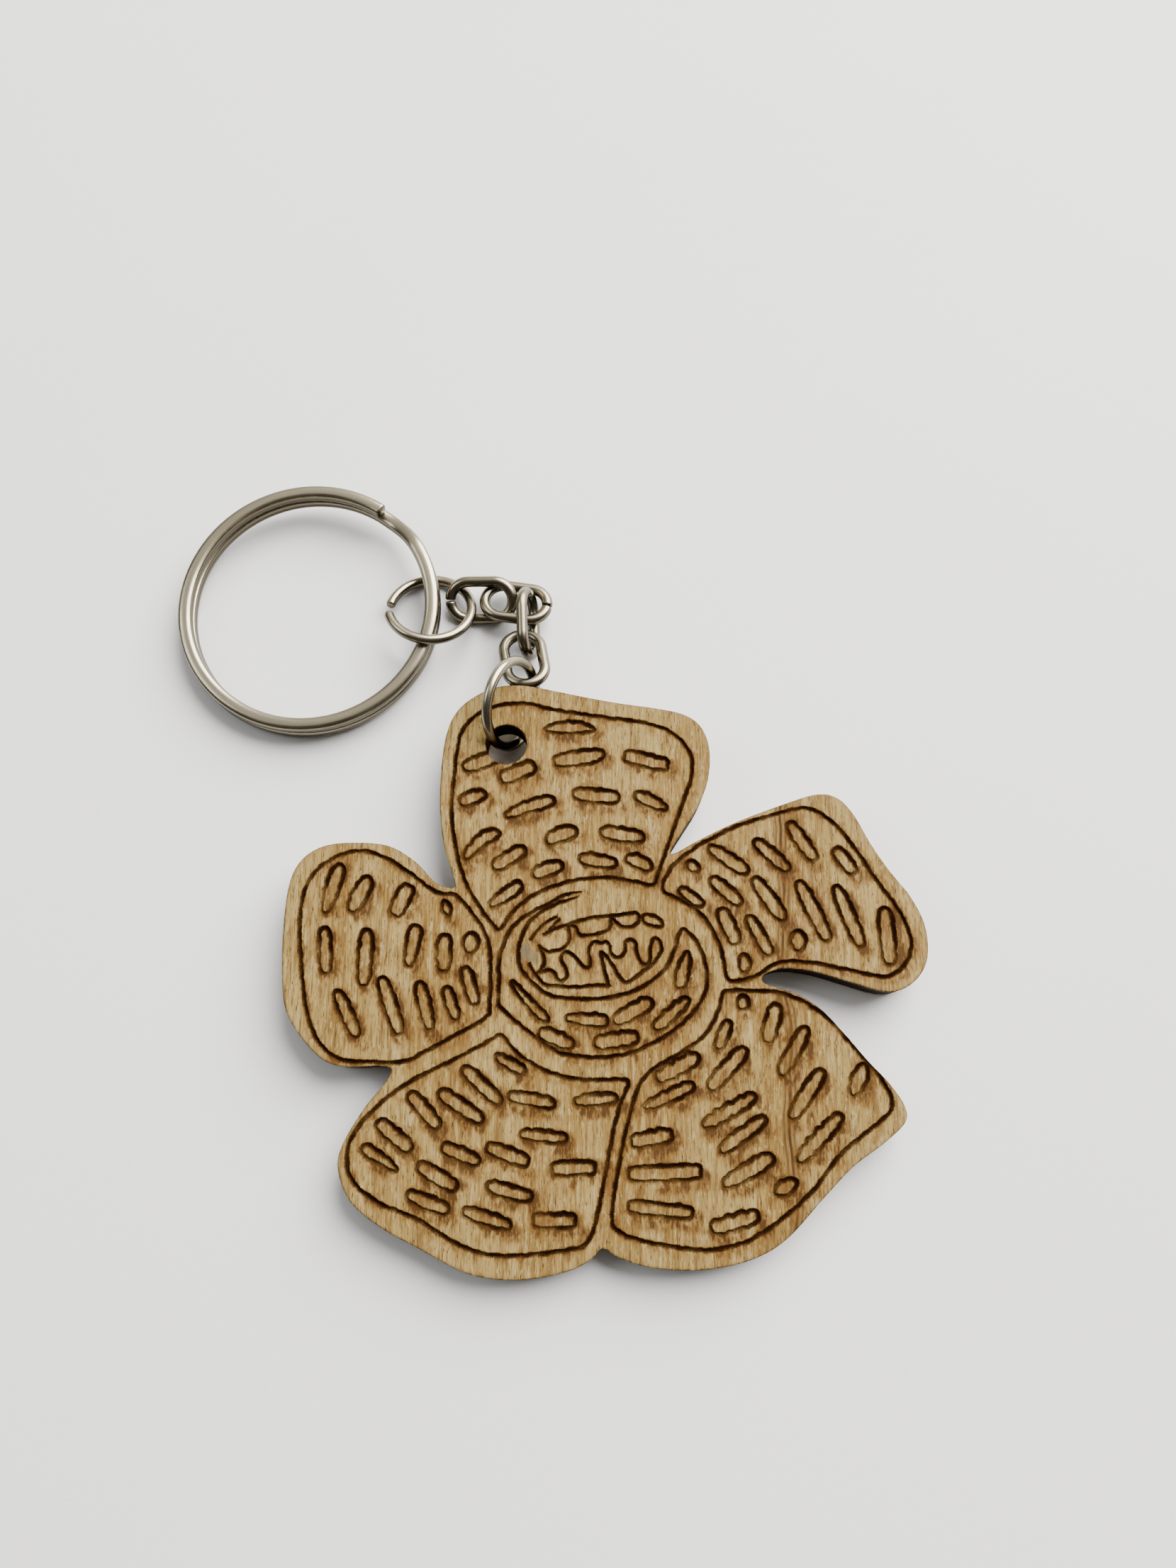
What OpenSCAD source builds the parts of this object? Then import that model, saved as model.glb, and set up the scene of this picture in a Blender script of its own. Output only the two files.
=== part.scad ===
/* [Charm] */
// Thickness of the plywood
ply_t = 3; // [2.4:0.1:4]
// Thickness of each face veneer
veneer_t = 0.7; // [0.5:0.1:0.9]
// Diameter of the hanging hole
hole_d = 3.7; // [3.5:0.1:4.2]
// Width of a burnt line
line_w = 0.35; // [0.2:0.05:0.45]
// Depth of a burnt line
line_depth = 0.25; // [0.1:0.05:0.4]

/* [Split ring] */
// Outside diameter
split_od = 25; // [24.6:0.1:25.4]
// Width of the flattened wire, across the ring
split_wire_w = 1.35; // [1.2:0.05:1.4]
// Height of one coil of the flattened wire
split_wire_h = 1.2; // [1:0.05:1.25]

/* [Jump rings] */
// Outside diameter of both jump rings
jump_od = 8.9; // [8.7:0.1:9.2]
// Wire diameter of both jump rings
jump_wire = 0.95; // [0.8:0.05:1]
// How far the ends of the open ring stand apart sideways
jump_twist = 1.2; // [0.8:0.1:1.3]

/* [Chain links] */
// Outside length of a link
link_l = 7.1; // [6.9:0.1:7.3]
// Outside width of a link
link_w = 4.6; // [4.5:0.1:4.8]
// Wire diameter of a link
link_wire = 1.05; // [0.9:0.05:1.1]
// Width of the seam where the wire's ends meet
seam = 0.12; // [0.05:0.01:0.3]

/* [Hidden] */
$fn = 48;
eps = 0.01;

// The charm lies on its south edge and on the wire of the jump ring under its north end.
charm_tilt = 2;
south_y = -24.6;
// The disc's centre, measured from the middle of the whole keychain's footprint
disc_at = [6.1, -11.5, 0];
hole_at = [-8.7, 20.8];

// Where each metal piece lies, from the disc's centre, and how it is turned
charm_ring_at = [-8.32, 24.72, 4.09];
charm_ring_turn = [63, -23, 82];
link_at = [[-7.32, 29.78, 2.59], [-7, 33.5, 2.4], [-8.25, 36, 1.7], [-11.6, 36.35, 1.55]];
link_turn = [[0.4, 18, 99.5], [73, -8, 92], [-9, -1.5, -9], [30.4, -4.7, -1.5]];
chain_ring_at = [-16.449, 35.097, 2.218];
chain_ring_turn = [-19.74, 2.48, -2.48];
split_ring_at = [-27.95, 35.25, 0.773];
split_ring_turn = [2.7, -1.46, 0];
// The chain ring was pulled slightly oval, and its ends stand open by these angles from its gap's middle.
jump_oval = 1.06;
jump_opening = [18, 10];

// The cut edge, petal by petal and clockwise, from the notch left of the top petal
edge = [
    // top petal
    [-13.1, 7.7], [-13.3, 9], [-14.1, 11.5], [-14.55, 15], [-14.5, 19], [-14.1, 22], [-13.2, 24],
    [-11.6, 25.4], [-9.5, 26.3], [-7, 26.4], [-3.5, 25.7], [1, 24.8], [5, 24.2], [7.5, 23.6],
    [9, 22.4], [9.7, 20.3], [9.5, 17.5], [8.6, 15.1], [7.3, 13],
    // right petal
    [6, 10.9], [6.5, 10.8], [8.5, 11.9], [12, 13.6], [16.5, 15.3], [19.2, 16.1], [21, 15.8],
    [22.4, 14.3], [23.8, 11.6], [25.3, 9.2], [27, 6.9], [28.1, 4.4], [28.2, 1.8], [27.4, 0],
    [25.8, -1.2], [24, -1.35], [21.5, -0.65], [18.5, 0.25], [16, 0.6], [14.4, 0.3],
    // lower right petal
    [13.7, -0.3], [14.3, -0.85], [16.5, -1.5], [18.6, -2.8], [20.5, -4.8], [22.5, -7.2],
    [24.3, -9.2], [25.4, -11], [25.3, -12.3], [23.5, -13.9], [20.8, -15.8], [18.2, -18.3],
    [15, -21.5], [12, -23.1], [8, -23.85], [4, -23.7], [1.2, -22.9],
    // lower left petal
    [-0.1, -22.2], [-1, -23], [-2.6, -23.85], [-5.5, -24.5], [-8.5, -24.6], [-11.5, -24],
    [-15, -22.3], [-18.5, -20.5], [-21, -18.5], [-22.1, -16], [-21.8, -14], [-20.2, -11.2],
    [-18.6, -9.2],
    // left petal
    [-18, -7.95], [-19, -7.65], [-22, -7.7], [-24, -7], [-26, -5], [-27.3, -2.8], [-27.75, 0],
    [-27.9, 4], [-27.6, 8], [-26.6, 10.2], [-24.7, 11.4], [-22, 11.7], [-19, 11.4], [-16.6, 10],
    [-14.7, 8.1]];

// The burnt line inside each petal and round the disc's crescent
top_line = [
    [-9.6, 4.4], [-10.5, 5.5], [-12, 7.9], [-13, 11], [-13.5, 14.5], [-13.35, 18], [-12.9, 21.6],
    [-11.5, 23.6], [-9.5, 24.5], [-7, 24.7], [-4.5, 24.1], [0, 23.4], [3.5, 22.9], [6.3, 21.9],
    [7.9, 20], [8, 17.9], [7.1, 15.1], [5.9, 11.8], [5, 9.3], [4.4, 7.9], [3, 8.15], [0, 8.55],
    [-3, 8.2], [-6, 7.05], [-8, 5.4], [-8.7, 4.4], [-9.15, 3.95]];
left_line = [
    [-13.1, 7.05], [-14.6, 7.25], [-16.8, 8.8], [-19, 10.2], [-21.5, 10.95], [-24, 10.2],
    [-25.9, 8.3], [-26.5, 5], [-26.2, 1.5], [-25.6, -2.5], [-24.5, -5.3], [-22.6, -7],
    [-20.5, -7.25], [-17, -7.25], [-15.3, -6.5], [-12.5, -5], [-10.1, -3.6], [-9.75, -2.5],
    [-9.85, 2], [-10.6, 4.2], [-12.2, 6.3]];
lower_left_line = [
    [-9.3, -5.25], [-10.5, -6], [-13.5, -7.5], [-16.5, -9], [-19, -10.9], [-20.8, -13],
    [-21.4, -15], [-20.8, -17], [-18.5, -18.7], [-15.5, -19.9], [-12.7, -21.5], [-10, -22.6],
    [-7, -22.75], [-3, -22.3], [-1.4, -21.8], [-0.7, -20.2], [0, -17], [0.6, -14], [1.3, -11],
    [1.9, -9.6], [2.05, -9.1], [1.6, -8.75], [-2, -8.75], [-5, -8], [-7.3, -6.6], [-8.3, -5.5],
    [-8.75, -5.1]];
lower_right_line = [
    [10.9, -1.3], [13, -1.35], [15.6, -1.6], [18.7, -3.2], [21.5, -6.2], [23.9, -9.3],
    [24.25, -11], [23.2, -12.2], [20, -14.6], [17, -18], [14, -20.4], [11, -21.9], [8, -22.3],
    [3.5, -21.7], [1.2, -20.9], [0.65, -19.8], [1.1, -16.5], [1.8, -13.2], [2.7, -10], [4, -8.1],
    [7, -6.3], [8.8, -4.9], [9.9, -3], [10.2, -1.9],
    [10.4, -1.4]];
right_line = [
    [5.3, 7.4], [5.6, 8.7], [6.7, 10.1], [9, 11.7], [12, 13.2], [15, 14.15], [18, 14.85],
    [20, 14], [22, 11.7], [24, 8.5], [26, 5.5], [26.8, 3], [26.2, 1], [24.5, -0.15], [22, 0.3],
    [18, 1.1], [15.2, 1.1], [13.3, 0], [11.5, -0.5], [10.7, -0.1], [10.1, 2.7], [8.6, 5.3],
    [6.5, 6.7]];
disc_line = [
    [7, 4], [7.5, 3.6], [8.2, 2.8], [8.9, 0.8], [8.8, -1.4], [7.3, -3.6], [4.5, -5.6], [1.5, -6.75],
    [-1.5, -6.9], [-4, -6.4], [-6.5, -4.7], [-8.8, -2.7], [-9, 0], [-8.7, 2.6], [-7, 5],
    [-5, 6.15], [-3.4, 6.75], [-2.8, 6.65], [-2.75, 6.3], [-3.4, 6.1], [-5, 5.5], [-6.7, 4.2],
    [-7.4, 1.7], [-6.5, -0.3], [-4.2, -1.8], [0, -1.95], [3, -1.2], [5.2, 0.4], [6.2, 2.2], [6.6, 3.5]];

// Growth marks: the two ends of each long ring and its width
top_marks = [
    [-5.3, 22.2, -0.7, 22.2, 1.1], [-4.4, 19.15, 0.1, 19.85, 1.25], [2, 19.7, 5.9, 18.8, 1.1],
    [-12.6, 18.7, -10.6, 19.5, 1.2], [-8.7, 17.9, -5.95, 19.1, 1.1], [-12.8, 15.4, -10.5, 16.2, 1.3],
    [-8.7, 14.1, -4.35, 15.6, 1.15], [-2.65, 16.15, 1.5, 15.8, 1.15], [2.9, 16.1, 5.7, 14.8, 1.2],
    [-12.2, 10.2, -9.3, 12.7, 1.05], [-5, 11.8, -2.3, 12.8, 1.25], [-0.25, 12.7, 3.65, 12.1, 1.15],
    [-9.7, 9.4, -6.9, 11.2, 1.1], [-2.05, 10.3, 1.15, 9.8, 1.05], [2.05, 10.3, 4.3, 9.4, 1.05],
    [-6.15, 8.8, -3.6, 9.7, 1.1], [-9.9, 6, -7.2, 8, 1.1]];
left_marks = [
    [-24.4, 5.4, -23.2, 9.75, 1.4], [-22.1, 5.5, -20.6, 8.6, 1.3], [-18.3, 5.25, -17.05, 7.85, 1.25],
    [-14, 6.5, -13.45, 5.15, 0.7], [-24, 0.15, -24.3, 4.15, 0.95], [-20.7, -0.85, -20.6, 3.95, 1.1],
    [-16.85, 0.8, -16.3, 4.3, 1.2], [-13.85, 0.35, -13.8, 3.5, 1.15], [-11.6, 1.9, -11.45, 3.65, 1.2],
    [-23, -1.35, -21.05, -5.2, 1], [-19.2, -0.2, -17.4, -5, 1.05], [-15.9, -0.6, -14.8, -4.65, 1],
    [-13.6, -1, -12.6, -3.8, 1], [-12, 0.65, -11, -2.5, 0.95]];
lower_left_marks = [
    [-9.2, -6.8, -6.7, -8.2, 0.95], [-11.9, -7.8, -8.7, -10.7, 1], [-13.9, -9.75, -10.15, -12.2, 1.1],
    [-16.4, -9.9, -13.85, -12.7, 1.05], [-19, -12.2, -16.1, -14.5, 1.1],
    [-20.2, -14.2, -17.2, -16.1, 1], [-8, -10.1, -4.1, -10.8, 0.95], [-2.45, -10.6, 1.1, -10.3, 0.85],
    [-7.05, -13.2, -3.05, -13.6, 0.85], [-9.8, -14.2, -6.3, -15.5, 1.05],
    [-13.5, -14.2, -10.4, -15.5, 1], [-15.5, -15.7, -12.2, -17.5, 1.1], [-4.3, -16, -0.7, -15.9, 1],
    [-9.7, -17.3, -6, -18.3, 1], [-16.3, -18, -12.85, -19.3, 1], [-11.65, -19.3, -7.7, -20.5, 0.95],
    [-5.8, -20.1, -2.35, -20.1, 1.05]];
lower_right_marks = [
    [11.9, -2.95, 12.1, -1.75, 0.9], [13.95, -5.7, 14.9, -2.5, 1.15], [9.7, -6.3, 10.75, -3.9, 0.85],
    [15, -8.4, 17.4, -4.4, 1.05], [8.9, -9.6, 12.1, -6.2, 1.15], [4.6, -8.8, 8.1, -6.8, 0.85],
    [3.4, -11.1, 7.6, -9.2, 0.9], [21, -10.1, 22.2, -7.5, 1.2], [15.7, -12, 18.6, -7.95, 1.1],
    [8.3, -12.6, 12.8, -10.1, 1], [9.7, -14.6, 13.6, -11.9, 1], [16.2, -15.4, 20, -11.6, 1.05],
    [2.3, -13.85, 5.75, -13.25, 1.1], [9.9, -17.3, 14.1, -15, 1.3], [14.2, -17.9, 16, -17, 1.1],
    [2.05, -16.45, 8.1, -16.2, 1.1], [2, -18.95, 7.3, -19.5, 0.95], [8.8, -20.7, 12.7, -19.65, 1.1]];
right_marks = [
    [7.45, 9.8, 8.5, 9.25, 0.85], [9.4, 11.3, 12.8, 9, 1.05], [13.5, 11.9, 16.4, 9.2, 1.05],
    [16.6, 13.5, 18.75, 10.1, 1.1], [20.6, 11.1, 22.2, 8.95, 1.05], [6.7, 7.5, 8.75, 6.1, 0.8],
    [9.5, 8.5, 12.1, 6.2, 1.05], [13.3, 8.5, 15.8, 4.8, 1.15], [17.2, 8.2, 19.6, 3, 1.15],
    [20.5, 7.8, 22.45, 2.5, 1.1], [10.3, 5.8, 11.6, 2.7, 1.15], [12.75, 5.1, 14.5, 1.7, 0.95],
    [17, 2.1, 17, 3.85, 1.2], [12.3, 0.25, 12.2, 1.8, 0.9], [24.65, 5.85, 24.85, 0.9, 1.2]];
disc_marks = [
    [-7.9, -0.5, -4.8, -3.9, 0.65], [-3.2, -3.7, 0.35, -3.95, 0.9], [0.9, -4, 4.2, -2.2, 0.9],
    [4.4, -4.6, 7.3, -2, 0.85], [6.5, -1.1, 7.35, 2, 1], [-5.5, -4.8, -2.6, -6, 0.85],
    [-0.75, -5.8, 2.95, -5.25, 0.9]];
all_marks = concat(top_marks, left_marks, lower_left_marks, lower_right_marks, right_marks, disc_marks);

// One point of a smooth curve through four points, between b and c
function between(a, b, c, d, t) =
    0.5 * (2 * b + (c - a) * t + (2 * a - 5 * b + 4 * c - d) * t * t + (3 * b - a - 3 * c + d) * t * t * t);

// A closed smooth curve through the points, with n steps from each to the next
function smooth_loop(p, n) = [
    for (i = [0:len(p) - 1], k = [0:n - 1])
        between(p[(i + len(p) - 1) % len(p)], p[i], p[(i + 1) % len(p)], p[(i + 2) % len(p)], k / n)];

// The same closed curve moved d to its left
function moved_loop(p, d) = [
    for (i = [0:len(p) - 1])
        let (along = p[(i + 1) % len(p)] - p[(i + len(p) - 1) % len(p)])
        p[i] + d * [-along.y, along.x] / norm(along)];

module charm_outline() {
    difference() {
        polygon(smooth_loop(edge, 3));
        translate(hole_at) circle(d = hole_d);
    }
}

module burnt_line(points) {
    loop = smooth_loop(points, 3);
    difference() {
        polygon(moved_loop(loop, line_w / 2));
        polygon(moved_loop(loop, -line_w / 2));
    }
}

module capsule(length, width) {
    circle(d = width, $fn = 24);
    translate([length, 0]) circle(d = width, $fn = 24);
    translate([0, -width / 2]) square([length, width]);
}

// The ring of a growth mark, from [x, y] to [x, y] with its width
module growth_mark(m) {
    run = [m[2] - m[0], m[3] - m[1]];
    translate([m[0], m[1]])
        rotate(atan2(run.y, run.x))
            translate([m[4] / 2, 0])
                difference() {
                    capsule(norm(run) - m[4], m[4] + line_w);
                    capsule(norm(run) - m[4], m[4] - line_w);
                }
}

// Lays a piece that is drawn flat, back face down, the way the charm lies
module as_charm_lies() {
    translate(disc_at + [0, south_y, 0]) rotate([charm_tilt, 0, 0]) translate([0, -south_y, 0]) children();
}

module ply(from, to) {
    as_charm_lies() translate([0, 0, from]) linear_extrude(to - from) charm_outline();
}

module front_veneer() {
    color("burlywood")
        difference() {
            ply(ply_t - veneer_t, ply_t);
            as_charm_lies()
                translate([0, 0, ply_t - line_depth])
                    linear_extrude(line_depth + eps) {
                        for (line = [top_line, left_line, lower_left_line, lower_right_line, right_line,
                                     disc_line])
                            burnt_line(line);
                        for (m = all_marks) growth_mark(m);
                    }
        }
}

module core_ply() {
    color("peru") ply(veneer_t, ply_t - veneer_t);
}

module back_veneer() {
    color("burlywood") ply(0, veneer_t);
}

// A wire bent round z by functions of the angle: its points are radius + profile out, rise(angle) up
module bent_wire(radius, profile, angles, rise) {
    count = len(profile);
    last = len(angles) - 1;
    points = [
        for (a = angles, p = profile)
            [(radius + p.x) * cos(a), (radius + p.x) * sin(a), rise(a) + p.y]];
    sides = [
        for (i = [0:last - 1], k = [0:count - 1])
            [i * count + k, i * count + (k + 1) % count, (i + 1) * count + (k + 1) % count,
             (i + 1) * count + k]];
    start = [for (k = [count - 1:-1:0]) k];
    end = [for (k = [0:count - 1]) last * count + k];
    polyhedron(points, concat([start], sides, [end]));
}

// A jump ring lying flat, with its gap at the angle gap_at
module jump_ring(gap_at, twist) {
    gap = 4;
    radius = (jump_od - jump_wire) / 2;
    if (twist == 0) {
        rotate(gap_at + gap / 2)
            rotate_extrude(angle = 360 - gap, $fn = 96)
                translate([radius, 0]) circle(d = jump_wire, $fn = 24);
    } else {
        rotate(gap_at)
            bent_wire(radius, [for (k = [0:11]) jump_wire / 2 * [cos(k * 30), sin(k * 30)]],
                      [for (a = [jump_opening[0]:4:360 - jump_opening[1]]) a],
                      function(a) twist * (0.5 - a / 360));
    }
}

// An oval link lying flat with its long axis along x and its seam at the +x end
module chain_link() {
    bend = (link_w - link_wire) / 2;
    straight = link_l - link_w;
    difference() {
        union() {
            for (side = [-1, 1]) {
                translate([side * straight / 2, 0, 0])
                    rotate(side * -90)
                        rotate_extrude(angle = 180, $fn = 72)
                            translate([bend, 0]) circle(d = link_wire, $fn = 24);
                translate([-straight / 2, side * bend, 0])
                    rotate([0, 90, 0]) cylinder(d = link_wire, h = straight, $fn = 24);
            }
        }
        translate([straight / 2, -seam / 2, -link_w]) cube([link_w, seam, 2 * link_w]);
    }
}

module lay(at, turn) {
    translate(disc_at + at) rotate(turn) children();
}

module charm_ring() {
    color("silver") lay(charm_ring_at, charm_ring_turn) jump_ring(250, 0);
}

module link_number(i, seam_turn) {
    color("silver") lay(link_at[i - 1], link_turn[i - 1]) rotate(seam_turn) chain_link();
}

module chain_link_1() {
    link_number(1, 0);
}

module chain_link_2() {
    link_number(2, 0);
}

module chain_link_3() {
    link_number(3, 0);
}

module chain_link_4() {
    link_number(4, 180);
}

module chain_ring() {
    color("silver") lay(chain_ring_at, chain_ring_turn) scale([1, jump_oval, 1]) jump_ring(180, jump_twist);
}

module split_ring() {
    w = split_wire_w / 2;
    h = split_wire_h / 2;
    bevel = 0.28;
    profile = [[w, bevel - h], [w, h - bevel], [w - bevel, h], [bevel - w, h], [-w, h - bevel],
               [-w, bevel - h], [bevel - w, -h], [w - bevel, -h]];
    top_end = 56;
    step_from = 389;
    step_to = 413;
    bottom_end = 743;
    coil_gap = 0.08;
    rise = function(a)
        let (t = min(1, max(0, (a - step_from) / (step_to - step_from))))
        (split_wire_h + coil_gap) * (1 - t * t * (3 - 2 * t));
    angles = concat([for (a = [top_end:7:step_from - 1]) a], [for (a = [step_from:4:step_to - 1]) a],
                    [for (a = [step_to:6:bottom_end]) a]);
    color("silver")
        lay(split_ring_at, split_ring_turn)
            translate([0, 0, h])
                bent_wire((split_od - split_wire_w) / 2, profile, angles, rise);
}

front_veneer();
core_ply();
back_veneer();
charm_ring();
chain_link_1();
chain_link_2();
chain_link_3();
chain_link_4();
chain_ring();
split_ring();
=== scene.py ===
"""Looks of the keychain: a burnt plywood flower on a nickel chain and split ring."""
import math

import bmesh
import bpy
import numpy as np
from mathutils import Euler, Matrix, Vector
from mathutils.geometry import delaunay_2d_cdt


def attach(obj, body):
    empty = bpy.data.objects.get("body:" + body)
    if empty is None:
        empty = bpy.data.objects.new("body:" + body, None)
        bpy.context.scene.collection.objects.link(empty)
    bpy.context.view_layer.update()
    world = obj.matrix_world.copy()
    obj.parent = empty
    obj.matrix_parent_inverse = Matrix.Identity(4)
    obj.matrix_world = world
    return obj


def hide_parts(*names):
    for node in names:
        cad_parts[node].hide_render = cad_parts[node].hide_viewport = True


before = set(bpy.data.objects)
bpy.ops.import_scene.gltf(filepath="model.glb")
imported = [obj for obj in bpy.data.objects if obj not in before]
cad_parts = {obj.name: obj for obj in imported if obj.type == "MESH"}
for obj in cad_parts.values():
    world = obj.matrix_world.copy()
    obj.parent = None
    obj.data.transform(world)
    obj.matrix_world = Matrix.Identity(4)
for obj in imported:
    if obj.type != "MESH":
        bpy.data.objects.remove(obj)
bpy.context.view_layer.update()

MM = 0.001

# ---------------------------------------------------------------- the design, in millimetres
# The flower is drawn flat from its disc's centre, and the metal pieces lie where part.scad puts them.
DISC_AT = np.array([6.1, -11.5, 0.0])
SOUTH_Y = -24.6
CHARM_TILT = math.radians(2)
PLY_T, VENEER_T = 3.0, 0.7
HOLE_AT, HOLE_R = (-8.7, 20.8), 1.85
LATE_WOOD_X = 15.8               # a dark line in the grain
SMUDGE_AT = (-6.5, 1.7)

EDGE = [
    (-13.1, 7.7), (-13.3, 9), (-14.1, 11.5), (-14.55, 15), (-14.5, 19), (-14.1, 22), (-13.2, 24),
    (-11.6, 25.4), (-9.5, 26.3), (-7, 26.4), (-3.5, 25.7), (1, 24.8), (5, 24.2), (7.5, 23.6),
    (9, 22.4), (9.7, 20.3), (9.5, 17.5), (8.6, 15.1), (7.3, 13), (6, 10.9), (6.5, 10.8),
    (8.5, 11.9), (12, 13.6), (16.5, 15.3), (19.2, 16.1), (21, 15.8), (22.4, 14.3), (23.8, 11.6),
    (25.3, 9.2), (27, 6.9), (28.1, 4.4), (28.2, 1.8), (27.4, 0), (25.8, -1.2), (24, -1.35),
    (21.5, -0.65), (18.5, 0.25), (16, 0.6), (14.4, 0.3), (13.7, -0.3), (14.3, -0.85), (16.5, -1.5),
    (18.6, -2.8), (20.5, -4.8), (22.5, -7.2), (24.3, -9.2), (25.4, -11), (25.3, -12.3),
    (23.5, -13.9), (20.8, -15.8), (18.2, -18.3), (15, -21.5), (12, -23.1), (8, -23.85), (4, -23.7),
    (1.2, -22.9), (-0.1, -22.2), (-1, -23), (-2.6, -23.85), (-5.5, -24.5), (-8.5, -24.6),
    (-11.5, -24), (-15, -22.3), (-18.5, -20.5), (-21, -18.5), (-22.1, -16), (-21.8, -14),
    (-20.2, -11.2), (-18.6, -9.2), (-18, -7.95), (-19, -7.65), (-22, -7.7), (-24, -7), (-26, -5),
    (-27.3, -2.8), (-27.75, 0), (-27.9, 4), (-27.6, 8), (-26.6, 10.2), (-24.7, 11.4), (-22, 11.7),
    (-19, 11.4), (-16.6, 10), (-14.7, 8.1),
]
TOP_LINE = [
    (-9.6, 4.4), (-10.5, 5.5), (-12, 7.9), (-13, 11), (-13.5, 14.5), (-13.35, 18), (-12.9, 21.6),
    (-11.5, 23.6), (-9.5, 24.5), (-7, 24.7), (-4.5, 24.1), (0, 23.4), (3.5, 22.9), (6.3, 21.9),
    (7.9, 20), (8, 17.9), (7.1, 15.1), (5.9, 11.8), (5, 9.3), (4.4, 7.9), (3, 8.15), (0, 8.55),
    (-3, 8.2), (-6, 7.05), (-8, 5.4), (-8.7, 4.4), (-9.15, 3.95),
]
LEFT_LINE = [
    (-13.1, 7.05), (-14.6, 7.25), (-16.8, 8.8), (-19, 10.2), (-21.5, 10.95), (-24, 10.2),
    (-25.9, 8.3), (-26.5, 5), (-26.2, 1.5), (-25.6, -2.5), (-24.5, -5.3), (-22.6, -7),
    (-20.5, -7.25), (-17, -7.25), (-15.3, -6.5), (-12.5, -5), (-10.1, -3.6), (-9.75, -2.5),
    (-9.85, 2), (-10.6, 4.2), (-12.2, 6.3),
]
LOWER_LEFT_LINE = [
    (-9.3, -5.25), (-10.5, -6), (-13.5, -7.5), (-16.5, -9), (-19, -10.9), (-20.8, -13),
    (-21.4, -15), (-20.8, -17), (-18.5, -18.7), (-15.5, -19.9), (-12.7, -21.5), (-10, -22.6),
    (-7, -22.75), (-3, -22.3), (-1.4, -21.8), (-0.7, -20.2), (0, -17), (0.6, -14), (1.3, -11),
    (1.9, -9.6), (2.05, -9.1), (1.6, -8.75), (-2, -8.75), (-5, -8), (-7.3, -6.6), (-8.3, -5.5),
    (-8.75, -5.1),
]
LOWER_RIGHT_LINE = [
    (10.9, -1.3), (13, -1.35), (15.6, -1.6), (18.7, -3.2), (21.5, -6.2), (23.9, -9.3), (24.25, -11),
    (23.2, -12.2), (20, -14.6), (17, -18), (14, -20.4), (11, -21.9), (8, -22.3), (3.5, -21.7),
    (1.2, -20.9), (0.65, -19.8), (1.1, -16.5), (1.8, -13.2), (2.7, -10), (4, -8.1), (7, -6.3),
    (8.8, -4.9), (9.9, -3), (10.2, -1.9), (10.4, -1.4),
]
RIGHT_LINE = [
    (5.3, 7.4), (5.6, 8.7), (6.7, 10.1), (9, 11.7), (12, 13.2), (15, 14.15), (18, 14.85), (20, 14),
    (22, 11.7), (24, 8.5), (26, 5.5), (26.8, 3), (26.2, 1), (24.5, -0.15), (22, 0.3), (18, 1.1),
    (15.2, 1.1), (13.3, 0), (11.5, -0.5), (10.7, -0.1), (10.1, 2.7), (8.6, 5.3), (6.5, 6.7),
]
TOP_MARKS = [
    (-5.3, 22.2, -0.7, 22.2, 1.1), (-4.4, 19.15, 0.1, 19.85, 1.25), (2, 19.7, 5.9, 18.8, 1.1),
    (-12.6, 18.55, -9.3, 19.75, 1.2), (-9.2, 17.5, -6.15, 18.8, 1.2),
    (-12.8, 15.4, -10.5, 16.2, 1.3), (-8.7, 14.1, -4.35, 15.6, 1.15),
    (-2.65, 16.15, 1.5, 15.8, 1.15), (2.9, 16.1, 5.7, 14.8, 1.2), (-12.2, 10.2, -9.3, 12.7, 1.05),
    (-5, 11.8, -2.3, 12.8, 1.25), (-0.25, 12.7, 3.65, 12.1, 1.15), (-9.7, 9.4, -6.9, 11.2, 1.1),
    (-2.05, 10.3, 1.15, 9.8, 1.05), (2.05, 10.3, 4.3, 9.4, 1.05), (-6.15, 8.8, -3.6, 9.7, 1.1),
    (-9.9, 6, -7.2, 8, 1.1),
]
LEFT_MARKS = [
    (-24.4, 5.4, -23.2, 9.75, 1.4), (-22.1, 5.5, -20.6, 8.6, 1.3), (-18.3, 5.25, -17.05, 7.85, 1.25),
    (-14, 6.5, -13.45, 5.15, 0.7), (-24, 0.15, -24.3, 4.15, 0.95), (-20.7, -0.85, -20.6, 3.95, 1.1),
    (-16.85, 0.8, -16.3, 4.3, 1.2), (-13.85, 0.35, -13.8, 3.5, 1.15),
    (-11.6, 1.9, -11.45, 3.65, 1.2), (-23, -1.35, -21.05, -5.2, 1), (-19.2, -0.2, -17.4, -5, 1.05),
    (-15.9, -0.6, -14.8, -4.65, 1), (-13.6, -1, -12.6, -3.8, 1), (-12, 0.65, -11, -2.5, 0.95),
]
LOWER_LEFT_MARKS = [
    (-9.2, -6.8, -6.7, -8.2, 0.95), (-11.9, -7.8, -8.7, -10.7, 1),
    (-13.9, -9.75, -10.15, -12.2, 1.1), (-16.4, -9.9, -13.85, -12.7, 1.05),
    (-19, -12.2, -16.1, -14.5, 1.1), (-20.2, -14.2, -17.2, -16.1, 1),
    (-8, -10.1, -4.1, -10.8, 0.95), (-2.45, -10.6, 1.1, -10.3, 0.85),
    (-7.05, -13.2, -3.05, -13.6, 0.85), (-9.8, -14.2, -6.3, -15.5, 1.05),
    (-13.5, -14.2, -10.4, -15.5, 1), (-15.5, -15.7, -12.2, -17.5, 1.1), (-4.3, -16, -0.7, -15.9, 1),
    (-9.7, -17.3, -6, -18.3, 1), (-16.3, -18, -12.85, -19.3, 1), (-11.65, -19.3, -7.7, -20.5, 0.95),
    (-5.8, -20.1, -2.35, -20.1, 1.05),
]
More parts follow.
